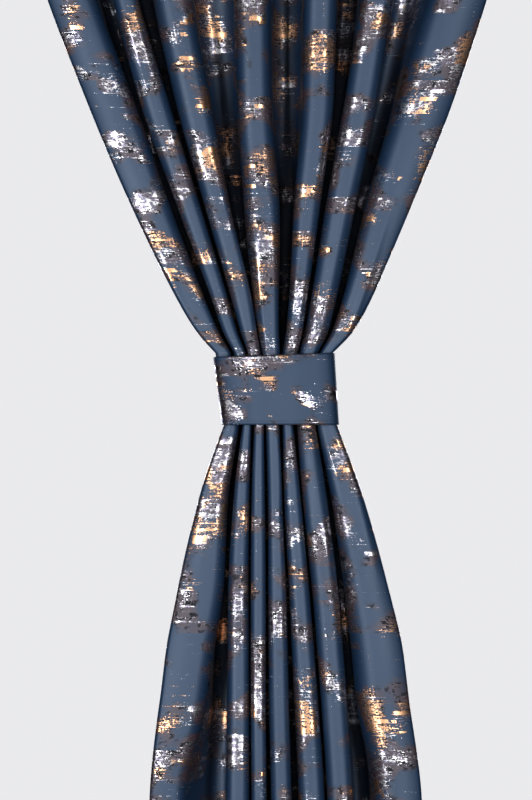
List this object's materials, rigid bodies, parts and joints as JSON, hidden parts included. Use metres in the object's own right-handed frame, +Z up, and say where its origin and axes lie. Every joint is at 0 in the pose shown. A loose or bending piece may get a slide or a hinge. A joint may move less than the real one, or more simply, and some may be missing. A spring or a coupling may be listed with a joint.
{
  "type": "blackout curtain with tieback",
  "caption": "Floor-length curtain panel hung in deep folds and gathered at its waist by a tieback of the same cloth, navy satin with a brushed metallic foil print.",
  "frame": {"origin": "middle of the curtain's top edge, where it hangs", "axes": "+Z up along the drop, +X to the right as seen from the room, -Y out into the room"},
  "size_m": [0.8934, 0.1142, 2.4501],
  "materials": {
    "curtain": "navy satin weave with a dry-brushed silver, copper and black foil print",
    "tieback": "navy satin weave with the same dry-brushed foil print"
  },
  "bodies": {
    "root": {"curtain": "curtain", "tieback": "tieback"}
  },
  "joints": []
}
